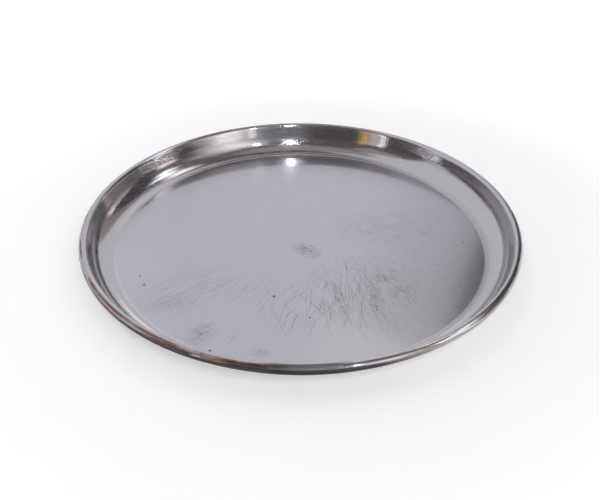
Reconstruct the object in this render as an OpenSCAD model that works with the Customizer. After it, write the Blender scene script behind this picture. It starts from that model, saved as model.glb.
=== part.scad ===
// Round serving tray pressed from one sheet of stainless steel, with a wire rolled into its rim.
// It stands on z = 0 with its axis along z. Lengths are in millimetres and angles in degrees.

/* [Tray] */
// Diameter over the rolled rim
tray_d = 356; // [250:1:450]
// Height from the table to the top of the rim
tray_h = 24; // [22:0.5:45]
// Thickness of the steel sheet
sheet_t = 0.9; // [0.5:0.1:1.2]

/* [Wall] */
// Inside radius of the cove, the curve that leads from the floor into the wall
cove_r = 19; // [6:0.5:20]
// Lean of the wall outwards from upright
wall_flare = 15.95; // [8:0.05:40]

/* [Rolled rim] */
// Diameter of the wire inside the rim
wire_d = 5; // [3:0.1:8]
// Room left round the wire inside the curl
wire_clearance = 0.1; // [0.05:0.05:0.3]
// How far the sheet is rolled round the wire
curl_turn = 300; // [220:5:300]
// Gap between the two butted ends of the wire
wire_gap = 0.6; // [0.2:0.1:3]

/* [Hidden] */

// Sides of the tray's round outline, and of the circles in its cross-section
outline_sides = 180;
section_sides = 96;

// Inside and outside radius of the curl that holds the wire
curl_r = wire_d / 2 + wire_clearance;
bead_r = curl_r + sheet_t;

// Slope of the wall above the floor
wall_slope = 90 - wall_flare;

// Centre of the wire in the cross-section, from the tray's diameter and height
wire_centre = [tray_d / 2 - bead_r, tray_h - bead_r];

// Radius of the flat floor, at which the wall runs tangent from the cove into the curl
cove_z = sheet_t + cove_r;
wall_reach = cove_r + sheet_t + curl_r;
floor_r = wire_centre.x - (wall_reach + (wire_centre.y - cove_z) * cos(wall_slope)) / sin(wall_slope);
cove_centre = [floor_r, cove_z];

// Length of the straight wall between the cove and the curl
wall_run = wire_centre - cove_centre;
wall_len = wall_run.x * cos(wall_slope) + wall_run.y * sin(wall_slope);

// Turn of each of the two arcs that make the cove, which overlap in the middle
cove_arc_share = 0.6;
cove_arc_turn = cove_arc_share * wall_slope;

// Turn of the tray that the gap in the wire takes up
wire_gap_turn = 180 * wire_gap / (PI * wire_centre.x);

// Piece of a flat ring that runs anticlockwise from the start angle through the turn
module ring_sector(inner_r, outer_r, start, turn) {
    widest_step = 60;
    fan_r = 2 * outer_r;
    steps = ceil(turn / widest_step);
    fan = [for (i = [0:steps]) let (a = start + turn * i / steps) fan_r * [cos(a), sin(a)]];
    intersection() {
        difference() {
            circle(r = outer_r, $fn = section_sides);
            circle(r = inner_r, $fn = section_sides);
        }
        polygon(concat([[0, 0]], fan));
    }
}

// Half cross-section of the pressed sheet: floor, cove, wall and the curl round the wire.
// The cove is two arcs that overlap: one ends square to the floor, the other square to the wall.
module sheet_section() {
    square([floor_r, sheet_t]);
    translate(cove_centre) {
        ring_sector(cove_r, cove_r + sheet_t, -90, cove_arc_turn);
        rotate(-wall_flare) {
            ring_sector(cove_r, cove_r + sheet_t, -cove_arc_turn, cove_arc_turn);
            translate([cove_r, 0])
                square([sheet_t, wall_len]);
            translate([wall_reach, wall_len])
                ring_sector(curl_r, bead_r, 180 - curl_turn, curl_turn);
        }
    }
}

// The pressed and rolled sheet
module tray_pan() {
    color("silver")
        rotate_extrude($fn = outline_sides)
            sheet_section();
}

// The hoop of round wire that the rim is rolled over
module rim_wire() {
    color("slategray")
        rotate_extrude(angle = 360 - wire_gap_turn, $fn = outline_sides)
            translate(wire_centre)
                circle(d = wire_d, $fn = section_sides);
}

tray_pan();
rim_wire();
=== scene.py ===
import math
import bpy
from mathutils import Matrix, Vector


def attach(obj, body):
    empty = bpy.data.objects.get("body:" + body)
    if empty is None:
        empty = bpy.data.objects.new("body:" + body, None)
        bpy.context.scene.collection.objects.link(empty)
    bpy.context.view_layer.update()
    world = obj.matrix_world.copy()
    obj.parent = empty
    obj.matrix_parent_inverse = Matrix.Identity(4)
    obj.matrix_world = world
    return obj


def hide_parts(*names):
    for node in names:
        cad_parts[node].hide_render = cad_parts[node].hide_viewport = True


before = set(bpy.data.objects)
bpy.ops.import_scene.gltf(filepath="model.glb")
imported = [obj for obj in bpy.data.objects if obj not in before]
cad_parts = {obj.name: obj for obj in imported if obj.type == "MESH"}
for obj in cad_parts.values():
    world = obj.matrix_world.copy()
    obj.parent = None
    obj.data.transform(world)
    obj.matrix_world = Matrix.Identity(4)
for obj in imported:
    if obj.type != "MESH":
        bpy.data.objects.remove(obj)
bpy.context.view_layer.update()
mm = 0.001
print("frame loaded:", sorted(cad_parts))


# sRGB hex to the linear colour that a node takes, made lighter or darker by the level
def linear(hexColour, level=1.0):
    channels = [int(hexColour[i:i + 2], 16) / 255 for i in (1, 3, 5)]
    channels = [c / 12.92 if c <= 0.04045 else ((c + 0.055) / 1.055) ** 2.4 for c in channels]
    return tuple(c * level for c in channels) + (1.0,)


# One node with its settings; an input is either a value or another node's output
def addNode(tree, kind, inputs=None, **settings):
    node = tree.nodes.new(kind)
    for name, value in settings.items():
        setattr(node, name, value)
    for key, value in (inputs or {}).items():
        if isinstance(value, bpy.types.NodeSocket):
            tree.links.new(value, node.inputs[key])
        else:
            node.inputs[key].default_value = value
    return node


def newMaterial(name):
    material = bpy.data.materials.new(name)
    material.use_nodes = True
    tree = material.node_tree
    tree.nodes.clear()
    return material, tree


def addObject(name, data):
    thing = bpy.data.objects.new(name, data)
    bpy.context.scene.collection.objects.link(thing)
    return thing


# A place flattened onto the table, and its distance from the axis
def fromAxis(tree, place):
    flat = addNode(tree, "ShaderNodeVectorMath", {0: place, 1: (1, 1, 0)}, operation="MULTIPLY").outputs[0]
    return flat, addNode(tree, "ShaderNodeVectorMath", {0: flat}, operation="LENGTH").outputs["Value"]


# Mask of an oval mark seen from above, in mm and degrees: 1 at its centre, 0 from its edge outwards
def markSpot(tree, place, at, half, turn=0):
    spot = addNode(tree, "ShaderNodeMapping", {"Vector": place, "Location": (at[0] * mm, at[1] * mm, 0),
                   "Rotation": (0, 0, math.radians(turn)), "Scale": (half[0] * mm, half[1] * mm, 1)},
                   vector_type="TEXTURE").outputs[0]
    return addNode(tree, "ShaderNodeTexGradient", {"Vector": spot}, gradient_type="SPHERICAL").outputs["Fac"]


# Floor of the tray: stainless sheet, rolled and lightly polished, then worn by years of plates.
# It mirrors its own back wall under a soft haze, and hairlines run out from a few places on it.
floorFinish = {
    "steel": "#CACACF",
    "stain": "#6A4E4A",        # what settles in scratches and smudges
    "grain": 0.45,             # mm, real polishing grain is about 0.05 and too fine to show
    "grainRange": (0.4, 0.6),  # of the grain's noise, from clear mirror to full haze
    "mirrorRoughness": 0.055,
    "hazeRoughness": 0.34,
    "wearRoughness": 0.15,     # what wear adds
    "hairWidth": 0.32,         # mm, real hairlines are about 0.05 and are drawn wider so that they show
    "hairSeat": (0.25, 0.75),  # where in its sector a hairline may lie
    "hairTaper": 0.2,          # share of its length from its middle to where it starts to thin
    "hairWeight": 0.62,
    "hairAll": 0.1,            # how strong they are away from the worn patches
    "hubFade": (12, 45),       # mm from the hub where they start and where they are full
    "hairLayers": [            # hub they run out from, count in the round, length in mm, share that is there
        {"hub": (44, 85), "count": 460, "length": 30, "share": 0.45},
        {"hub": (78, 50), "count": 400, "length": 22, "share": 0.45},
        {"hub": (14, 45), "count": 400, "length": 36, "share": 0.45},
        {"hub": (34, -10), "count": 230, "length": 26, "share": 0.4},
        {"hub": (8, -15), "count": 210, "length": 42, "share": 0.4},
        {"hub": (-16, -28), "count": 150, "length": 46, "share": 0.4},
        {"hub": (-50, -5), "count": 420, "length": 48, "share": 0.3},
    ],
    "fans": [                  # patches where plates turned most: centre, half sizes in mm, turn, strength
        {"at": (48, -72), "half": (60, 56), "turn": 10, "strength": 1.28},
        {"at": (-2, -92), "half": (40, 40), "turn": 0, "strength": 0.8},
        {"at": (-75, -66), "half": (70, 34), "turn": 8, "strength": 0.88},
        {"at": (80, 22), "half": (64, 38), "turn": 10, "strength": 0.72},
    ],
    "scratchWidth": 0.8,       # mm, drawn wider too
    "scratchReach": 0.6,       # half length of the mark as a share of the way between its ends
    "scratchWeight": 1.1,
    "scratches": [             # deeper ones: both ends in mm, strength
        ((18, -57), (19, -65), 1.0),
        ((19, -65), (22, -52), 0.8),
        ((17, -73), (13, -98), 0.7),
        ((13, -98), (8, -112), 0.7),
        ((4, -84), (6, -98), 0.6),
        ((-4, -89), (-12, -100), 0.9),
        ((-5, -77), (6, -65), 0.7),
        ((-5, -92), (0, -103), 0.6),
        ((34, -98), (31, -113), 0.9),
        ((46, -79), (45, -102), 0.6),
        ((45, -103), (42, -115), 0.9),
        ((51, -68), (55, -87), 0.6),
        ((60, -89), (63, -103), 0.7),
        ((69, -99), (71, -110), 0.6),
        ((76, -61), (71, -79), 0.9),
        ((81, -59), (85, -76), 0.8),
        ((69, -33), (73, -53), 0.6),
        ((35, -31), (38, -44), 0.7),
        ((17, -31), (22, -47), 0.6),
        ((23, -52), (28, -73), 0.7),
        ((98, -47), (97, -54), 0.6),
        ((59, 20), (77, 27), 0.5),
        ((51, 14), (70, 12), 0.4),
        ((-36, -102), (-22, -73), 0.5),
        ((-44, -114), (-53, -132), 0.7),
        ((-11, -119), (-2, -102), 0.5),
    ],
    "blotch": 1.7,             # mm, size of the flecks that smudges break up into
    "blotchRange": (0.4, 0.7),
    "smudges": [               # dried stains: centre, half sizes in mm, turn, strength
        {"at": (5, -13), "half": (17, 10), "turn": -38, "strength": 1.125},
        {"at": (62, -52), "half": (10, 8), "turn": 0, "strength": 0.9},
        {"at": (57, -76), "half": (7, 22), "turn": 4, "strength": 0.75},
        {"at": (31, -82), "half": (6, 24), "turn": 14, "strength": 0.75},
        {"at": (77, -65), "half": (10, 8), "turn": 0, "strength": 0.6},
        {"at": (-71, -118), "half": (12, 18), "turn": -35, "strength": 0.75},
        {"at": (-101, -84), "half": (28, 15), "turn": 0, "strength": 0.375},
        {"at": (-28, -137), "half": (10, 5), "turn": 0, "strength": 0.675},
    ],
    "speckWeight": 1.3,
    "specks": [                # burnt-on specks: centre, radius in mm
        {"at": (-20, -74), "radius": 1.6},
        {"at": (-63, -135), "radius": 1.4},
        {"at": (-121, -60), "radius": 1.4},
        {"at": (-126, -49), "radius": 1.2},
        {"at": (136, -1), "radius": 1.2},
        {"at": (7, -99), "radius": 1.2},
    ],
}


# Hairlines from one hub: one line to a sector of the round, cut into lengths that are there or not
def hairLayer(tree, place, layer, look):
    hub = (layer["hub"][0] * mm, layer["hub"][1] * mm, 0)
    outward = addNode(tree, "ShaderNodeVectorMath", {0: place, 1: hub}, operation="SUBTRACT").outputs[0]
    outward, reach = fromAxis(tree, outward)
    parts = addNode(tree, "ShaderNodeSeparateXYZ", {0: outward}).outputs
    angle = addNode(tree, "ShaderNodeMath", {0: parts["Y"], 1: parts["X"]}, operation="ARCTAN2").outputs[0]
    sector = math.tau / layer["count"]
    turn = addNode(tree, "ShaderNodeMath", {0: angle, 1: 1 / sector}, operation="MULTIPLY").outputs[0]
    line = addNode(tree, "ShaderNodeMath", {0: turn}, operation="FLOOR").outputs[0]
    start = addNode(tree, "ShaderNodeTexWhiteNoise", {"W": line}, noise_dimensions="1D").outputs["Value"]
    along = addNode(tree, "ShaderNodeMath", {0: reach, 1: 1 / (layer["length"] * mm), 2: start},
                    operation="MULTIPLY_ADD").outputs[0]
    piece = addNode(tree, "ShaderNodeMath", {0: along}, operation="FLOOR").outputs[0]
    key = addNode(tree, "ShaderNodeCombineXYZ", {"X": line, "Y": piece}).outputs[0]
    chance = addNode(tree, "ShaderNodeTexWhiteNoise", {"Vector": key}, noise_dimensions="2D").outputs["Color"]
    chance = addNode(tree, "ShaderNodeSeparateXYZ", {0: chance}).outputs
    there = addNode(tree, "ShaderNodeMapRange", {"Value": chance["Y"],
                    "From Min": 1 - layer["share"]}).outputs["Result"]

    # thin to both sides, to both ends and towards the hub
    seat = addNode(tree, "ShaderNodeMapRange", {"Value": chance["X"], "To Min": look["hairSeat"][0],
                   "To Max": look["hairSeat"][1]}).outputs["Result"]
    aside = addNode(tree, "ShaderNodeMath", {0: turn}, operation="FRACT").outputs[0]
    aside = addNode(tree, "ShaderNodeMath", {0: aside, 1: seat}, operation="SUBTRACT").outputs[0]
    aside = addNode(tree, "ShaderNodeMath", {0: aside}, operation="ABSOLUTE").outputs[0]
    aside = addNode(tree, "ShaderNodeMath", {0: aside, 1: reach}, operation="MULTIPLY").outputs[0]
    drawn = addNode(tree, "ShaderNodeMapRange", {"Value": aside, "From Min": look["hairWidth"] * mm / sector,
                    "From Max": 0.0}, interpolation_type="SMOOTHSTEP").outputs["Result"]
    ends = addNode(tree, "ShaderNodeMath", {0: along}, operation="FRACT").outputs[0]
    ends = addNode(tree, "ShaderNodeMath", {0: ends, 1: 0.5}, operation="SUBTRACT").outputs[0]
    ends = addNode(tree, "ShaderNodeMath", {0: ends}, operation="ABSOLUTE").outputs[0]
    ends = addNode(tree, "ShaderNodeMapRange", {"Value": ends, "From Min": 0.5,
                   "From Max": look["hairTaper"]}, interpolation_type="SMOOTHSTEP").outputs["Result"]
    apart = addNode(tree, "ShaderNodeMapRange", {"Value": reach, "From Min": look["hubFade"][0] * mm,
                    "From Max": look["hubFade"][1] * mm}).outputs["Result"]
    for mask in (ends, apart, there):
        drawn = addNode(tree, "ShaderNodeMath", {0: drawn, 1: mask}, operation="MULTIPLY").outputs[0]
    return drawn


def makeFloorSteel(look):
    material, tree = newMaterial("polished stainless sheet, worn floor")
    place = addNode(tree, "ShaderNodeTexCoord").outputs["Object"]

    # hairlines, strong where the floor is worn
    hair = 0.0
    for layer in look["hairLayers"]:
        drawn = hairLayer(tree, place, layer, look)
        hair = addNode(tree, "ShaderNodeMath", {0: drawn, 1: hair}, operation="ADD").outputs[0]
    worn = look["hairAll"]
    for fan in look["fans"]:
        spot = markSpot(tree, place, fan["at"], fan["half"], fan["turn"])
        worn = addNode(tree, "ShaderNodeMath", {0: spot, 1: fan["strength"], 2: worn},
                       operation="MULTIPLY_ADD").outputs[0]
    hair = addNode(tree, "ShaderNodeMath", {0: hair, 1: worn}, operation="MULTIPLY",
                   use_clamp=True).outputs[0]

    # deeper scratches, each a thin pointed line
    for start, end, strength in look["scratches"]:
        run = (end[0] - start[0], end[1] - start[1])
        middle = ((start[0] + end[0]) / 2, (start[1] + end[1]) / 2)
        half = (math.hypot(*run) * look["scratchReach"], look["scratchWidth"] / 2)
        spot = markSpot(tree, place, middle, half, math.degrees(math.atan2(run[1], run[0])))
        hair = addNode(tree, "ShaderNodeMath", {0: spot, 1: strength * look["scratchWeight"], 2: hair},
                       operation="MULTIPLY_ADD").outputs[0]

    # smudges with a broken edge, and specks
    blotch = addNode(tree, "ShaderNodeTexNoise", {"Vector": place, "Scale": 1 / (look["blotch"] * mm),
                     "Detail": 4.0, "Roughness": 0.7}, noise_dimensions="3D").outputs["Fac"]
    blotch = addNode(tree, "ShaderNodeMapRange", {"Value": blotch, "From Min": look["blotchRange"][0],
                     "From Max": look["blotchRange"][1]}, interpolation_type="SMOOTHSTEP").outputs["Result"]
    dirt = 0.0
    for smudge in look["smudges"]:
        spot = markSpot(tree, place, smudge["at"], smudge["half"], smudge["turn"])
        dirt = addNode(tree, "ShaderNodeMath", {0: spot, 1: smudge["strength"], 2: dirt},
                       operation="MULTIPLY_ADD").outputs[0]
    dirt = addNode(tree, "ShaderNodeMath", {0: dirt, 1: blotch}, operation="MULTIPLY").outputs[0]
    for speck in look["specks"]:
        spot = markSpot(tree, place, speck["at"], (speck["radius"], speck["radius"]))
        dirt = addNode(tree, "ShaderNodeMath", {0: spot, 1: look["speckWeight"], 2: dirt},
                       operation="MULTIPLY_ADD").outputs[0]
    wear = addNode(tree, "ShaderNodeMath", {0: hair, 1: look["hairWeight"], 2: dirt},
                   operation="MULTIPLY_ADD", use_clamp=True).outputs[0]
    colour = addNode(tree, "ShaderNodeMix", {0: wear, 6: linear(look["steel"]), 7: linear(look["stain"])},
                     data_type="RGBA").outputs[2]

    # fine grain mixes a clear mirror with a soft haze
    grain = addNode(tree, "ShaderNodeTexNoise", {"Vector": place, "Scale": 1 / (look["grain"] * mm),
                    "Detail": 1.0}, noise_dimensions="3D").outputs["Fac"]
    roughness = addNode(tree, "ShaderNodeMapRange", {"Value": grain, "From Min": look["grainRange"][0],
                        "From Max": look["grainRange"][1], "To Min": look["mirrorRoughness"],
                        "To Max": look["hazeRoughness"]}).outputs["Result"]
    roughness = addNode(tree, "ShaderNodeMath", {0: wear, 1: look["wearRoughness"], 2: roughness},
                        operation="MULTIPLY_ADD").outputs[0]
    shader = addNode(tree, "ShaderNodeBsdfPrincipled", {"Base Color": colour, "Metallic": 1.0,
                     "Roughness": roughness})
    addNode(tree, "ShaderNodeOutputMaterial", {"Surface": shader.outputs[0]})
    return material


# Cove, wall and rolled rim: the same sheet, buffed as the tray turned under the wheel.
# Fine lines run round it, so lamps draw out into streaks across the wall.
wallFinish = {
    "steel": "#C6C4C6",
    "lineWidth": 0.12,         # mm, real buffing lines are about 0.03 and too fine to show
    "lineBreak": 0.02,         # how fast a line changes on its way round, against across
    "lineRange": (0.48, 0.7),  # of the lines' noise, from polished to dull
    "polished": 0.06,
    "dull": 0.34,
    "streak": 0.85,            # how far highlights draw out across the lines
    "streakTurn": 0.25,        # of a full turn
    "footRing": 151.9,         # mm, radius of the dulled ring where the cove starts, whose lighter steel is a painted highlight
    "footHalf": (1.3, 0.5),    # mm to each side where it ends and where it is full
    # painted highlight: the lighter steel of that ring
    "footPaintedHighlight": "#DEDCDF",
    "footRoughness": 0.42,
    "wallPaintedShade": "#AFADAF",         # painted shade: a grey that darkens what the steep wall mirrors
    "wallShadeHeights": (9, 13, 20.5, 22),      # mm, where it starts, is full, ends and is gone
    "wallShadeRadius": (172.3, 171.5),          # mm, where it is gone and where it is full, inside the rolled rim
    "rimAt": (174.4, 20.5),    # mm, middle of the rolled rim's section; degrees round it are above level
    "rimReach": (4.2, 3.8),    # mm from there where the rim's painted shade, painted reflection and dull place are gone and where they are full
    "uneven": 14,              # mm, size of the patches in which the rim's painted shade and painted reflection wander
    "unevenRange": (0.4, 0.6),
    "unevenTurn": 8,           # degrees that they wander to each side
    "rimPaintedShade": "#4A4447",        # painted shade on the rim's lower outside, standing in for the dark it mirrors
    "rimShadeBand": (19, 47),     # degrees where it is full and where it ends
    "rimShadeStart": (-118, -108),            # degrees where it starts and where it is full
    "rimShadeSide": (98, 52),     # mm to the right where it has thinned out and where it is full
    "rimShadeThin": 0.35,
    "rimPaintedReflection": "#86685A",      # painted reflection: a brown band that the rim mirrors, put into its colour
    "reflectionBand": (50, 76),   # degrees where it starts and ends
    "reflectionSoft": (5, 8),     # degrees to each side of these over which it fades
    "reflectionClimb": 14,        # degrees that it reaches higher at the front
    "reflectionSide": (50, -20),  # mm to the right where it has faded and where it is full
    "reflectionThin": 0.12,
    "reflectionBack": (45, 5),    # mm to the back where it has faded and where it is full
    "reflectionPatch": 0.2,       # what is left of it between the patches
    "dullShadedAt": (3, -175),       # mm, dull place at the front of the rim, where it was held most; its colour there is darkened with painted shade
    "dullShadedHalf": 33,            # mm
    "heldRoughness": 0.5,
    # share of painted shade in the dull place
    "heldPaintedShade": 0.7,
}


def makeWallSteel(look):
    material, tree = newMaterial("buffed stainless sheet, wall and rim")
    place = addNode(tree, "ShaderNodeTexCoord").outputs["Object"]
    parts = addNode(tree, "ShaderNodeSeparateXYZ", {0: place}).outputs
    flat, radius = fromAxis(tree, place)

    # lines round the tray
    around = addNode(tree, "ShaderNodeVectorMath", {0: flat, "Scale": look["lineBreak"]},
                     operation="SCALE").outputs[0]
    across = addNode(tree, "ShaderNodeCombineXYZ", {"X": radius, "Z": parts["Z"]}).outputs[0]
    across = addNode(tree, "ShaderNodeVectorMath", {0: across, 1: around}, operation="ADD").outputs[0]
    lines = addNode(tree, "ShaderNodeTexNoise", {"Vector": across, "Scale": 1 / (look["lineWidth"] * mm),
                    "Detail": 2.0}, noise_dimensions="3D").outputs["Fac"]
    roughness = addNode(tree, "ShaderNodeMapRange", {"Value": lines, "From Min": look["lineRange"][0],
                        "From Max": look["lineRange"][1], "To Min": look["polished"],
                        "To Max": look["dull"]}).outputs["Result"]

    # the dulled ring at the foot of the cove; its lighter steel is a painted highlight
    foot = addNode(tree, "ShaderNodeMath", {0: radius, 1: look["footRing"] * mm},
                   operation="SUBTRACT").outputs[0]
    foot = addNode(tree, "ShaderNodeMath", {0: foot}, operation="ABSOLUTE").outputs[0]
    foot = addNode(tree, "ShaderNodeMapRange", {"Value": foot, "From Min": look["footHalf"][0] * mm,
                   "From Max": look["footHalf"][1] * mm}, interpolation_type="SMOOTHSTEP").outputs["Result"]
    roughness = addNode(tree, "ShaderNodeMix", {0: foot, 2: roughness, 3: look["footRoughness"]}).outputs[0]
    colour = addNode(tree, "ShaderNodeMix", {0: foot, 6: linear(look["steel"]), 7: linear(look["footPaintedHighlight"])},
                     data_type="RGBA").outputs[2]

    # painted shade on the steep wall, darkening what it mirrors
    low, full, last, gone = (h * mm for h in look["wallShadeHeights"])
    wallPaintedShade = addNode(tree, "ShaderNodeMapRange", {"Value": parts["Z"], "From Min": low, "From Max": full},
                   interpolation_type="SMOOTHSTEP").outputs["Result"]
    under = addNode(tree, "ShaderNodeMapRange", {"Value": parts["Z"], "From Min": gone, "From Max": last},
                    interpolation_type="SMOOTHSTEP").outputs["Result"]
    within = addNode(tree, "ShaderNodeMapRange", {"Value": radius, "From Min": look["wallShadeRadius"][0] * mm,
                     "From Max": look["wallShadeRadius"][1] * mm}).outputs["Result"]
    for mask in (under, within):
        wallPaintedShade = addNode(tree, "ShaderNodeMath", {0: wallPaintedShade, 1: mask}, operation="MULTIPLY").outputs[0]
    colour = addNode(tree, "ShaderNodeMix", {0: wallPaintedShade, 6: colour, 7: linear(look["wallPaintedShade"])},
                     data_type="RGBA").outputs[2]

    # the angle round the rim's section, as it is and wandering
    out = addNode(tree, "ShaderNodeMath", {0: radius, 1: look["rimAt"][0] * mm},
                  operation="SUBTRACT").outputs[0]
    up = addNode(tree, "ShaderNodeMath", {0: parts["Z"], 1: look["rimAt"][1] * mm},
                 operation="SUBTRACT").outputs[0]
    angle = addNode(tree, "ShaderNodeMath", {0: up, 1: out}, operation="ARCTAN2").outputs[0]
    angle = addNode(tree, "ShaderNodeMath", {0: angle}, operation="DEGREES").outputs[0]
    uneven = addNode(tree, "ShaderNodeTexNoise", {"Vector": place, "Scale": 1 / (look["uneven"] * mm),
                     "Detail": 3.0}, noise_dimensions="3D").outputs["Fac"]
    strayed = addNode(tree, "ShaderNodeMath", {0: uneven, 1: 2 * look["unevenTurn"], 2: -look["unevenTurn"]},
                      operation="MULTIPLY_ADD").outputs[0]
    strayed = addNode(tree, "ShaderNodeMath", {0: angle, 1: strayed}, operation="ADD").outputs[0]
    onRim = addNode(tree, "ShaderNodeCombineXYZ", {"X": out, "Y": up}).outputs[0]
    onRim = addNode(tree, "ShaderNodeVectorMath", {0: onRim}, operation="LENGTH").outputs["Value"]
    onRim = addNode(tree, "ShaderNodeMapRange", {"Value": onRim, "From Min": look["rimReach"][0] * mm,
                    "From Max": look["rimReach"][1] * mm}).outputs["Result"]

    # painted shade on the rim's lower outside
    rimPaintedShade = addNode(tree, "ShaderNodeMapRange", {"Value": strayed, "From Min": look["rimShadeBand"][1],
                    "From Max": look["rimShadeBand"][0]}, interpolation_type="SMOOTHSTEP").outputs["Result"]
    thin = addNode(tree, "ShaderNodeMapRange", {"Value": parts["X"], "From Min": look["rimShadeSide"][0] * mm,
                   "From Max": look["rimShadeSide"][1] * mm, "To Min": look["rimShadeThin"]}).outputs["Result"]
    outside = addNode(tree, "ShaderNodeMapRange", {"Value": angle, "From Min": look["rimShadeStart"][0],
                      "From Max": look["rimShadeStart"][1]}).outputs["Result"]
    for mask in (thin, outside, onRim):
        rimPaintedShade = addNode(tree, "ShaderNodeMath", {0: rimPaintedShade, 1: mask}, operation="MULTIPLY").outputs[0]
    colour = addNode(tree, "ShaderNodeMix", {0: rimPaintedShade, 6: colour, 7: linear(look["rimPaintedShade"])},
                     data_type="RGBA").outputs[2]

    # painted reflection: the brown band over it
    first, last = look["reflectionBand"]
    firstSoft, lastSoft = look["reflectionSoft"]
    rimPaintedReflection = addNode(tree, "ShaderNodeMapRange", {"Value": strayed, "From Min": first - firstSoft,
                      "From Max": first + firstSoft}, interpolation_type="SMOOTHSTEP").outputs["Result"]
    over = addNode(tree, "ShaderNodeMath", {0: parts["Y"], 1: look["reflectionClimb"] / (look["rimAt"][0] * mm),
                   2: strayed}, operation="MULTIPLY_ADD").outputs[0]
    over = addNode(tree, "ShaderNodeMapRange", {"Value": over, "From Min": last + lastSoft,
                   "From Max": last - lastSoft}, interpolation_type="SMOOTHSTEP").outputs["Result"]
    side = addNode(tree, "ShaderNodeMapRange", {"Value": parts["X"], "From Min": look["reflectionSide"][0] * mm,
                   "From Max": look["reflectionSide"][1] * mm, "To Min": look["reflectionThin"]}).outputs["Result"]
    behind = addNode(tree, "ShaderNodeMapRange", {"Value": parts["Y"],
                     "From Min": look["reflectionBack"][0] * mm,
                     "From Max": look["reflectionBack"][1] * mm}).outputs["Result"]
    patchy = addNode(tree, "ShaderNodeMapRange", {"Value": uneven, "From Min": look["unevenRange"][0],
                     "From Max": look["unevenRange"][1], "To Min": look["reflectionPatch"]}).outputs["Result"]
    for mask in (over, onRim, side, behind, patchy):
        rimPaintedReflection = addNode(tree, "ShaderNodeMath", {0: rimPaintedReflection, 1: mask}, operation="MULTIPLY").outputs[0]
    colour = addNode(tree, "ShaderNodeMix", {0: rimPaintedReflection, 6: colour, 7: linear(look["rimPaintedReflection"])},
                     data_type="RGBA").outputs[2]

    # the dull place, full in the inner half of its round: rougher, and darker with painted shade
    dullAndShaded = markSpot(tree, place, look["dullShadedAt"], (look["dullShadedHalf"], look["dullShadedHalf"]))
    dullAndShaded = addNode(tree, "ShaderNodeMapRange", {"Value": dullAndShaded, "From Max": 0.5},
                   interpolation_type="SMOOTHSTEP").outputs["Result"]
    dullAndShaded = addNode(tree, "ShaderNodeMath", {0: dullAndShaded, 1: onRim}, operation="MULTIPLY").outputs[0]
    roughness = addNode(tree, "ShaderNodeMix", {0: dullAndShaded, 2: roughness, 3: look["heldRoughness"]}).outputs[0]
    dullAndShaded = addNode(tree, "ShaderNodeMath", {0: dullAndShaded, 1: look["heldPaintedShade"]}, operation="MULTIPLY").outputs[0]
    colour = addNode(tree, "ShaderNodeMix", {0: dullAndShaded, 6: colour, 7: linear(look["rimPaintedShade"])},
                     data_type="RGBA").outputs[2]

    buffed = addNode(tree, "ShaderNodeTangent", direction_type="RADIAL", axis="Z").outputs[0]
    shader = addNode(tree, "ShaderNodeBsdfPrincipled", {"Base Color": colour, "Metallic": 1.0,
                     "Roughness": roughness, "Anisotropic": look["streak"],
                     "Anisotropic Rotation": look["streakTurn"], "Tangent": buffed})
    addNode(tree, "ShaderNodeOutputMaterial", {"Surface": shader.outputs[0]})
    return material


# Underside: the sheet as it left the press, with the turned marks of the rough polish
underFinish = {
    "steel": "#BDBCBD",
    "markWidth": 0.9,          # mm
    "markBreak": 0.03,         # how fast a mark changes on its way round, against across
    "markRange": (0.35, 0.65),
    "smooth": 0.24,
    "rough": 0.42,
}


def makeUnderSteel(look):
    material, tree = newMaterial("pressed stainless sheet, underside")
    place = addNode(tree, "ShaderNodeTexCoord").outputs["Object"]
    flat, radius = fromAxis(tree, place)
    around = addNode(tree, "ShaderNodeVectorMath", {0: flat, "Scale": look["markBreak"]},
                     operation="SCALE").outputs[0]
    across = addNode(tree, "ShaderNodeCombineXYZ", {"Z": radius}).outputs[0]
    across = addNode(tree, "ShaderNodeVectorMath", {0: across, 1: around}, operation="ADD").outputs[0]
    marks = addNode(tree, "ShaderNodeTexNoise", {"Vector": across, "Scale": 1 / (look["markWidth"] * mm),
                    "Detail": 2.0}, noise_dimensions="3D").outputs["Fac"]
    roughness = addNode(tree, "ShaderNodeMapRange", {"Value": marks, "From Min": look["markRange"][0],
                        "From Max": look["markRange"][1], "To Min": look["smooth"],
                        "To Max": look["rough"]}).outputs["Result"]
    shader = addNode(tree, "ShaderNodeBsdfPrincipled", {"Base Color": linear(look["steel"]), "Metallic": 1.0,
                     "Roughness": roughness})
    addNode(tree, "ShaderNodeOutputMaterial", {"Surface": shader.outputs[0]})
    return material


# Wire in the rim: drawn steel, dull, with drawing lines along it
wireFinish = {
    "steel": "#A6A4A2",
    "lineWidth": 0.4,          # mm
    "lineRange": (0.35, 0.65),
    "smooth": 0.3,
    "rough": 0.45,
}


def makeWireSteel(look):
    material, tree = newMaterial("drawn steel wire")
    place = addNode(tree, "ShaderNodeTexCoord").outputs["Object"]
    height = addNode(tree, "ShaderNodeSeparateXYZ", {0: place}).outputs["Z"]
    radius = fromAxis(tree, place)[1]
    across = addNode(tree, "ShaderNodeCombineXYZ", {"X": radius, "Z": height}).outputs[0]
    lines = addNode(tree, "ShaderNodeTexNoise", {"Vector": across, "Scale": 1 / (look["lineWidth"] * mm),
                    "Detail": 1.0}, noise_dimensions="3D").outputs["Fac"]
    roughness = addNode(tree, "ShaderNodeMapRange", {"Value": lines, "From Min": look["lineRange"][0],
                        "From Max": look["lineRange"][1], "To Min": look["smooth"],
                        "To Max": look["rough"]}).outputs["Result"]
    shader = addNode(tree, "ShaderNodeBsdfPrincipled", {"Base Color": linear(look["steel"]), "Metallic": 1.0,
                     "Roughness": roughness})
    addNode(tree, "ShaderNodeOutputMaterial", {"Surface": shader.outputs[0]})
    return material


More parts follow.
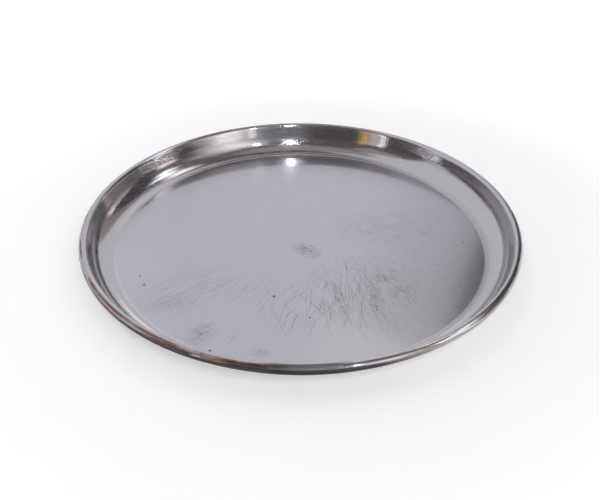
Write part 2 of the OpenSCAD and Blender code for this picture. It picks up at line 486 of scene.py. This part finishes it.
# The pan, in mm, with the CAD's values.
# Its width and height are a hair less, to stay inside the CAD's coarser box.
pan = {
    "diameter": 355.86,
    "height": 23.99,
    "sheet": 0.9,
    "coveRadius": 19,
    "wallFlare": 15.95,        # degrees from upright
    "wire": 5,
    "wireClearance": 0.1,
    "curlTurn": 300,           # degrees
    "sides": 384,
    "steps": {"floor": 26, "cove": 26, "wall": 6, "bead": 48, "curl": 28, "coveUnder": 20, "floorUnder": 18},
    "seam": 0.01,              # points nearer to each other than this are joined
    "crease": 40,              # degrees, past which an edge stays sharp
    "bow": 0.18,               # how far the worn floor lifts in shallow waves
    "bowLength": 95,
    "bowFade": 0.7,            # share of the floor's radius where they start to fade
}


def arcPoints(centre, radius, start, turn, steps):
    angles = [math.radians(start + turn * i / steps) for i in range(steps + 1)]
    return [(centre[0] + radius * math.cos(a), centre[1] + radius * math.sin(a)) for a in angles]


def linePoints(start, end, steps):
    return [(start[0] + (end[0] - start[0]) * i / steps, start[1] + (end[1] - start[1]) * i / steps)
            for i in range(steps + 1)]


# Outline of the sheet's half section, from the middle of the top round to the middle of the underside
def panSection(size):
    steps = size["steps"]
    curlRadius = size["wire"] / 2 + size["wireClearance"]
    beadRadius = curlRadius + size["sheet"]
    flare = size["wallFlare"]
    lean = math.radians(90 - flare)
    wireAt = (size["diameter"] / 2 - beadRadius, size["height"] - beadRadius)
    coveHeight = size["sheet"] + size["coveRadius"]
    reach = size["coveRadius"] + beadRadius
    floorRadius = wireAt[0] - (reach + (wireAt[1] - coveHeight) * math.cos(lean)) / math.sin(lean)
    coveAt = (floorRadius, coveHeight)
    coveTop = arcPoints(coveAt, size["coveRadius"], -90, 90 - flare, steps["cove"])
    coveUnder = arcPoints(coveAt, size["coveRadius"] + size["sheet"], -flare, flare - 90, steps["coveUnder"])
    bead = arcPoints(wireAt, beadRadius, 180 - flare, -size["curlTurn"], steps["bead"])
    curl = arcPoints(wireAt, curlRadius, 180 - flare - size["curlTurn"], size["curlTurn"], steps["curl"])
    section = linePoints((0, size["sheet"]), (floorRadius, size["sheet"]), steps["floor"])[:-1]
    section += coveTop
    section += linePoints(coveTop[-1], bead[0], steps["wall"])[1:-1]
    section += bead
    section += curl
    section += linePoints(curl[-1], coveUnder[0], steps["wall"])[1:-1]
    section += coveUnder
    section += linePoints((floorRadius, 0), (0, 0), steps["floorUnder"])[1:]
    return section, floorRadius


# Lathe: every point of the section is carried round the axis, then the seam and the poles are closed
def latheTree(size):
    tree = bpy.data.node_groups.new("latheTheSection", "GeometryNodeTree")
    sockets = [("Section", "NodeSocketGeometry"), ("Sides", "NodeSocketInt"),
               ("Floor Radius", "NodeSocketFloat"), ("Bow", "NodeSocketFloat"),
               ("Bow Length", "NodeSocketFloat"), ("Wall Steel", "NodeSocketMaterial"),
               ("Floor Steel", "NodeSocketMaterial"), ("Under Steel", "NodeSocketMaterial")]
    for name, kind in sockets:
        tree.interface.new_socket(name, in_out="INPUT", socket_type=kind)
    tree.interface.new_socket("Pan", in_out="OUTPUT", socket_type="NodeSocketGeometry")
    given = addNode(tree, "NodeGroupInput").outputs

    count = addNode(tree, "GeometryNodeAttributeDomainSize",
                    {"Geometry": given["Section"]}).outputs["Point Count"]
    rows = addNode(tree, "FunctionNodeIntegerMath", {0: given["Sides"], 1: 1}, operation="ADD").outputs[0]
    grid = addNode(tree, "GeometryNodeMeshGrid", {"Vertices X": rows, "Vertices Y": count}).outputs["Mesh"]
    index = addNode(tree, "GeometryNodeInputIndex").outputs[0]
    side = addNode(tree, "FunctionNodeIntegerMath", {0: index, 1: count}, operation="DIVIDE_FLOOR").outputs[0]
    step = addNode(tree, "FunctionNodeIntegerMath", {0: index, 1: count}, operation="MODULO").outputs[0]
    where = addNode(tree, "GeometryNodeInputPosition").outputs[0]
    drawn = addNode(tree, "GeometryNodeSampleIndex", {"Geometry": given["Section"], "Value": where,
                    "Index": step}, data_type="FLOAT_VECTOR", domain="POINT").outputs["Value"]
    turn = addNode(tree, "ShaderNodeMath", {0: side, 1: given["Sides"]}, operation="DIVIDE").outputs[0]
    turn = addNode(tree, "ShaderNodeMath", {0: turn, 1: math.tau}, operation="MULTIPLY").outputs[0]
    turned = addNode(tree, "ShaderNodeVectorRotate", {"Vector": drawn, "Angle": turn},
                     rotation_type="Z_AXIS").outputs[0]
    lathed = addNode(tree, "GeometryNodeSetPosition", {"Geometry": grid, "Position": turned}).outputs[0]
    closed = addNode(tree, "GeometryNodeMergeByDistance", {"Geometry": lathed,
                     "Distance": size["seam"] * mm}).outputs[0]
    closed = addNode(tree, "GeometryNodeFlipFaces", {"Mesh": closed}).outputs[0]      # faces outwards

    # shallow waves in the floor, upwards only, that fade out before the cove
    flat, radius = fromAxis(tree, where)
    share = addNode(tree, "ShaderNodeMath", {0: radius, 1: given["Floor Radius"]},
                    operation="DIVIDE").outputs[0]
    fade = addNode(tree, "ShaderNodeMapRange", {"Value": share, "From Min": size["bowFade"], "From Max": 1.0,
                   "To Min": 1.0, "To Max": 0.0}, interpolation_type="SMOOTHERSTEP").outputs["Result"]
    waveScale = addNode(tree, "ShaderNodeMath", {0: 1.0, 1: given["Bow Length"]},
                        operation="DIVIDE").outputs[0]
    wave = addNode(tree, "ShaderNodeTexNoise", {"Vector": flat, "Scale": waveScale, "Detail": 0.0},
                   noise_dimensions="3D").outputs["Fac"]
    lift = addNode(tree, "ShaderNodeMath", {0: wave, 1: fade}, operation="MULTIPLY").outputs[0]
    lift = addNode(tree, "ShaderNodeMath", {0: lift, 1: given["Bow"]}, operation="MULTIPLY").outputs[0]
    lift = addNode(tree, "ShaderNodeCombineXYZ", {"Z": lift}).outputs[0]
    waved = addNode(tree, "GeometryNodeSetPosition", {"Geometry": closed, "Offset": lift}).outputs[0]

    # smooth everywhere but at the cut edge of the curl
    angle = addNode(tree, "GeometryNodeInputMeshEdgeAngle").outputs["Unsigned Angle"]
    soft = addNode(tree, "FunctionNodeCompare", {0: angle, 1: math.radians(size["crease"])},
                   data_type="FLOAT", operation="LESS_THAN").outputs[0]
    smooth = addNode(tree, "GeometryNodeSetShadeSmooth", {0: waved, "Shade Smooth": soft},
                     domain="EDGE").outputs[0]

    # one steel for the cove, wall and rim, one for the floor's top and one for its underside
    inFloor = addNode(tree, "FunctionNodeCompare", {0: radius, 1: given["Floor Radius"]}, data_type="FLOAT",
                      operation="LESS_THAN").outputs[0]
    facing = addNode(tree, "GeometryNodeInputNormal").outputs[0]
    facing = addNode(tree, "ShaderNodeSeparateXYZ", {0: facing}).outputs["Z"]
    upward = addNode(tree, "FunctionNodeCompare", {0: facing, 1: 0.0}, data_type="FLOAT",
                     operation="GREATER_THAN").outputs[0]
    onTop = addNode(tree, "FunctionNodeBooleanMath", {0: inFloor, 1: upward}, operation="AND").outputs[0]
    below = addNode(tree, "FunctionNodeBooleanMath", {0: inFloor, 1: upward}, operation="NIMPLY").outputs[0]
    real = addNode(tree, "GeometryNodeRealizeInstances", {"Geometry": smooth}).outputs[0]
    real = addNode(tree, "GeometryNodeSetMaterial", {"Geometry": real,
                   "Material": given["Wall Steel"]}).outputs[0]
    real = addNode(tree, "GeometryNodeSetMaterial", {"Geometry": real, "Selection": onTop,
                   "Material": given["Floor Steel"]}).outputs[0]
    real = addNode(tree, "GeometryNodeSetMaterial", {"Geometry": real, "Selection": below,
                   "Material": given["Under Steel"]}).outputs[0]
    addNode(tree, "NodeGroupOutput", {"Pan": real})
    return tree


def makePan(size):
    section, floorRadius = panSection(size)
    mesh = bpy.data.meshes.new("pressedPan")
    edges = [(i, i + 1) for i in range(len(section) - 1)]
    mesh.from_pydata([(r * mm, 0, z * mm) for r, z in section], edges, [])
    piece = addObject("pressed_pan", mesh)
    lathe = piece.modifiers.new("lathe", "NODES")
    lathe.node_group = latheTree(size)
    values = {"Sides": size["sides"], "Floor Radius": floorRadius * mm, "Bow": size["bow"] * mm,
              "Bow Length": size["bowLength"] * mm,
              "Wall Steel": makeWallSteel(wallFinish), "Floor Steel": makeFloorSteel(floorFinish),
              "Under Steel": makeUnderSteel(underFinish)}
    for socket in lathe.node_group.interface.items_tree:
        if socket.in_out == "INPUT" and socket.name in values:
            lathe[socket.identifier] = values[socket.name]
    graph = bpy.context.evaluated_depsgraph_get()
    finished = bpy.data.meshes.new_from_object(piece.evaluated_get(graph))
    for i in reversed(range(len(finished.materials))):
        if finished.materials[i] is None:      # the empty slot that the grid starts with
            finished.materials.pop(index=i)
    piece.modifiers.clear()
    piece.data = finished
    return piece


panPiece = makePan(pan)
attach(panPiece, "root")
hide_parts("tray_pan")
print("pan lathed:", len(panPiece.data.vertices), "points,", [m.name for m in panPiece.data.materials])

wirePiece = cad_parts["rim_wire"]
wireSteel = makeWireSteel(wireFinish)
for slot in wirePiece.material_slots:
    slot.material = wireSteel
print("wire finished")


# Studio: a pale table in a dim room with one bright side, and lamps and windows that the steel mirrors.
# Azimuth runs from the back of the tray (0) clockwise to its right (90), and all angles are in degrees.
studio = {
    "table": "#FBFBFB",
    "tableSize": 30,           # m
    "tableDrop": 0.2,          # mm below the tray
    "tableRoughness": 0.9,
    "tableGlow": (0.33, 0.55),             # what lifts the table to white, near the tray and away from it
    "tableReach": (240, 430),  # mm from the middle where the one ends and the other starts
    "room": ("#8B8385", 0.54),
    "panels": {                # azimuth and elevation as centre and half size, soft edge, colour, level
        "right side": ((95, 30), (25, 45), 8, "#FFF0EA", 0.18),
        "far left": ((-120, 14), (56, 12), 5, "#FFEDEE", 0.42),
        "left wall": ((-57, 48), (27, 46), 4, "#F8F7FD", 0.80),
        "left skirting": ((-72, 18), (1, 7.5), 4, "#FFF4F0", 0.22),
        "back wall": ((10, 22), (16, 39), 4, "#F8F7FD", 0.78),
        "back corner": ((38.5, 7), (24, 30), 3, "#FFF4F0", 0.36),
        "ceiling": ((0, 200), (90, 17), 6, "#FFF2EF", 0.40),
        "pale patch": ((7, 5), (44, 4), 4, "#FFFBFC", 0.92),
        "front of the room": ((166, 17), (14, 26), 7, "#F4FAFF", 0.34),
        "by the window": ((113, 9), (46, 14), 5, "#FFF4F0", 0.48),
        "window frame": ((137, 18), (26, 32), 8, "#FFFAFA", 0.95),
        "window": ((138, 7), (22, 27), 7, "#FFFFFF", 1.4),
        "foot of the window": ((138, 7), (-3, 9), 5, "#FFFFFF", 2.5),
        "narrow window": ((152, 2), (0, 8), 2, "#F8FCFF", 2.0),
        "lamp in front": ((172, 1.5), (54, 7), 1, "#F6FAFF", 85.0),
        "second lamp": ((148, 1.2), (50, 3), 1, "#F6FAFF", 30.0),
        "lamp at right": ((68, 8), (49, 5), 3, "#F4FAFF", 2.5),
        "its low end": ((83, 7), (40, 6), 3, "#F4FAFF", 2.1),
        "lit shelf": ((61, 9.5), (9, 7), 3, "#FFF0EA", 0.62),
        "wall lamp": ((51, 3), (10, 8), 3, "#FFE9E0", 1.3),
        "low light": ((2, 3), (17, 4), 2.5, "#FBFCFF", 1.4),
        "lamp behind": ((45, 16), (59, 3.5), 3, "#FFF3F0", 2.0),
        "low lamp at right": ((98, 6), (5, 12), 3, "#FFF8F4", 1.7),
        "warm lamp": ((-143, 2.6), (12, 17), 3, "#FFD27C", 1.15),
        "between them": ((-137.5, 3), (8, 16), 3, "#FFF6F0", 1.0),
        "small lamp": ((-132.6, 1.6), (8, 16), 2, "#F8F8FF", 2.3),
    },
    "horizon": ("#F6F6F6", 0.9),
    "horizonHeights": (2, -1),             # where it starts and where it is full
    "card": {                  # mm, a veil that thickens into a dark card and keeps light off the right
        "from": (20, 560),
        "to": (700, 200),
        "heights": (170, 540),
        "veil": (190, 405),    # how far to the right it starts and ends, at the table
        "veilLean": 0.35,
        "veilShare": 0.33,
        "edge": (292, 322),    # how far to the right the card starts and is full, at the table
        "edgeLean": 0.14,
        "colour": "#68676C",
    },
    "sheet": {                 # mm, a small white sheet that stands near the rim at the front right
        "from": (209, -204),
        "to": (221, -146),
        "heights": (46, 135),
        "level": 1.7,
    },
}


# Mask of the directions inside a panel with a soft edge, from the angle off its centre one way
def insidePanel(tree, angle, half, soft):
    off = addNode(tree, "ShaderNodeMath", {0: angle}, operation="ABSOLUTE").outputs[0]
    return addNode(tree, "ShaderNodeMapRange", {"Value": off, "From Min": math.radians(half + soft),
                   "From Max": math.radians(half - soft)}, interpolation_type="SMOOTHSTEP").outputs["Result"]


def makeRoom(look):
    world = bpy.data.worlds.new("studio")
    world.use_nodes = True
    bpy.context.scene.world = world
    tree = world.node_tree
    tree.nodes.clear()
    toward = addNode(tree, "ShaderNodeTexCoord").outputs["Generated"]
    height = addNode(tree, "ShaderNodeSeparateXYZ", {0: toward}).outputs["Z"]
    elevation = addNode(tree, "ShaderNodeMath", {0: height}, operation="ARCSINE").outputs[0]
    light = linear(*look["room"])
    for name, (azimuths, elevations, soft, colour, level) in look["panels"].items():
        turned = addNode(tree, "ShaderNodeVectorRotate", {"Vector": toward,
                         "Angle": math.radians(azimuths[0])}, rotation_type="Z_AXIS").outputs[0]
        parts = addNode(tree, "ShaderNodeSeparateXYZ", {0: turned}).outputs
        aside = addNode(tree, "ShaderNodeMath", {0: parts["X"], 1: parts["Y"]},
                        operation="ARCTAN2").outputs[0]
        above = addNode(tree, "ShaderNodeMath", {0: elevation, 1: math.radians(elevations[0])},
                        operation="SUBTRACT").outputs[0]
        inside = insidePanel(tree, aside, azimuths[1], soft)
        within = insidePanel(tree, above, elevations[1], soft)
        mask = addNode(tree, "ShaderNodeMath", {0: inside, 1: within}, operation="MULTIPLY").outputs[0]
        light = addNode(tree, "ShaderNodeMix", {0: mask, 6: light, 7: linear(colour, level)},
                        data_type="RGBA", label=name).outputs[2]
    start, full = (math.radians(a) for a in look["horizonHeights"])
    low = addNode(tree, "ShaderNodeMapRange", {"Value": elevation, "From Min": start, "From Max": full},
                  interpolation_type="SMOOTHSTEP").outputs["Result"]
    light = addNode(tree, "ShaderNodeMix", {0: low, 6: light, 7: linear(*look["horizon"])},
                    data_type="RGBA", label="horizon").outputs[2]
    background = addNode(tree, "ShaderNodeBackground", {"Color": light})
    addNode(tree, "ShaderNodeOutputWorld", {"Surface": background.outputs[0]})


# A flat face from its four corners
def addFace(name, corners):
    mesh = bpy.data.meshes.new(name)
    mesh.from_pydata(corners, [], [(0, 1, 2, 3)])
    return addObject(name, mesh)


# An upright sheet of the studio, which the camera doesn't see
def uprightSheet(name, look):
    feet = [(x * mm, y * mm) for x, y in (look["from"], look["to"])]
    low, high = (h * mm for h in look["heights"])
    sheet = addFace(name, [(*feet[0], low), (*feet[1], low), (*feet[1], high), (*feet[0], high)])
    sheet.visible_camera = False
    return sheet


# The table, which glows for the camera and in mirror images alone
def makeTable(look):
    half = look["tableSize"] / 2
    table = addFace("pale_table", [(-half, -half, 0), (half, -half, 0), (half, half, 0), (-half, half, 0)])
    table.location.z = -look["tableDrop"] * mm
    material, tree = newMaterial("matt white table")
    shader = addNode(tree, "ShaderNodeBsdfPrincipled", {"Base Color": linear(look["table"]),
                     "Roughness": look["tableRoughness"], "Specular IOR Level": 0.0})
    ray = addNode(tree, "ShaderNodeLightPath").outputs
    seen = ray["Is Camera Ray"]
    for mirrored in (ray["Is Glossy Ray"], ray["Is Transmission Ray"]):
        seen = addNode(tree, "ShaderNodeMath", {0: seen, 1: mirrored}, operation="ADD",
                       use_clamp=True).outputs[0]
    place = addNode(tree, "ShaderNodeTexCoord").outputs["Object"]
    away = addNode(tree, "ShaderNodeVectorMath", {0: place}, operation="LENGTH").outputs["Value"]
    lift = addNode(tree, "ShaderNodeMapRange", {"Value": away, "From Min": look["tableReach"][0] * mm,
                   "From Max": look["tableReach"][1] * mm, "To Min": look["tableGlow"][0],
                   "To Max": look["tableGlow"][1]}, interpolation_type="SMOOTHSTEP").outputs["Result"]
    seen = addNode(tree, "ShaderNodeMath", {0: seen, 1: lift}, operation="MULTIPLY").outputs[0]
    glow = addNode(tree, "ShaderNodeEmission", {"Strength": seen}).outputs[0]
    both = addNode(tree, "ShaderNodeAddShader", {0: shader.outputs[0], 1: glow}).outputs[0]
    addNode(tree, "ShaderNodeOutputMaterial", {"Surface": both})
    table.data.materials.append(material)


def makeCard(look):
    card = uprightSheet("dark_card", look)
    material, tree = newMaterial("matt dark card behind a veil")
    place = addNode(tree, "ShaderNodeTexCoord").outputs["Object"]
    parts = addNode(tree, "ShaderNodeSeparateXYZ", {0: place}).outputs
    veil = addNode(tree, "ShaderNodeMath", {0: parts["Z"], 1: look["veilLean"], 2: parts["X"]},
                   operation="MULTIPLY_ADD").outputs[0]
    veil = addNode(tree, "ShaderNodeMapRange", {"Value": veil, "From Min": look["veil"][0] * mm,
                   "From Max": look["veil"][1] * mm, "To Max": look["veilShare"]},
                   interpolation_type="SMOOTHSTEP").outputs["Result"]
    dense = addNode(tree, "ShaderNodeMath", {0: parts["Z"], 1: look["edgeLean"], 2: parts["X"]},
                    operation="MULTIPLY_ADD").outputs[0]
    dense = addNode(tree, "ShaderNodeMapRange", {"Value": dense, "From Min": look["edge"][0] * mm,
                    "From Max": look["edge"][1] * mm, "To Max": 1 - look["veilShare"]},
                    interpolation_type="SMOOTHSTEP").outputs["Result"]
    share = addNode(tree, "ShaderNodeMath", {0: veil, 1: dense}, operation="ADD").outputs[0]
    clear = addNode(tree, "ShaderNodeBsdfTransparent").outputs[0]
    matt = addNode(tree, "ShaderNodeBsdfDiffuse", {"Color": linear(look["colour"])}).outputs[0]
    mixed = addNode(tree, "ShaderNodeMixShader", {0: share, 1: clear, 2: matt}).outputs[0]
    addNode(tree, "ShaderNodeOutputMaterial", {"Surface": mixed})
    card.data.materials.append(material)


# The white sheet, which shows in mirror images alone
def makeSheet(look):
    sheet = uprightSheet("white_sheet", look)
    sheet.visible_diffuse = False
    sheet.visible_shadow = False
    material, tree = newMaterial("lit white paper")
    glow = addNode(tree, "ShaderNodeEmission", {"Strength": look["level"]}).outputs[0]
    addNode(tree, "ShaderNodeOutputMaterial", {"Surface": glow})
    sheet.data.materials.append(material)


makeRoom(studio)
makeTable(studio)
makeCard(studio["card"])
makeSheet(studio["sheet"])
print("studio lit")


# Camera at the photograph's view
camera = {
    "lens": 48,                # mm
    "sensor": 36,              # mm
    "clip": (0.01, 100),       # m
    "distance": 668.3,         # mm from the middle of the tray's foot
    "elevation": 34.474,
    "yaw": 0.043,
    "pitch": -0.557,
    "roll": -0.158,
}


def makeCamera(view):
    data = bpy.data.cameras.new("photoView")
    data.lens = view["lens"]
    data.sensor_width = view["sensor"]
    data.clip_start, data.clip_end = view["clip"]
    eye = addObject("photo_view", data)
    up = math.radians(view["elevation"])
    spot = Vector((0, -math.cos(up), math.sin(up))) * view["distance"] * mm
    ahead = -spot.normalized()
    right = Vector((1, 0, 0))
    above = right.cross(ahead)
    turn = Matrix.Rotation(math.radians(view["yaw"]), 3, above)
    ahead = turn @ ahead
    right = turn @ right
    turn = Matrix.Rotation(math.radians(view["pitch"]), 3, right)
    ahead = turn @ ahead
    above = turn @ above
    turn = Matrix.Rotation(math.radians(view["roll"]), 3, ahead)
    right = turn @ right
    above = turn @ above
    facing = Matrix((right, above, -ahead)).transposed().to_4x4()
    eye.matrix_world = Matrix.Translation(spot) @ facing
    bpy.context.scene.camera = eye


makeCamera(camera)
bpy.context.scene.view_settings.view_transform = "Standard"
print("camera set")
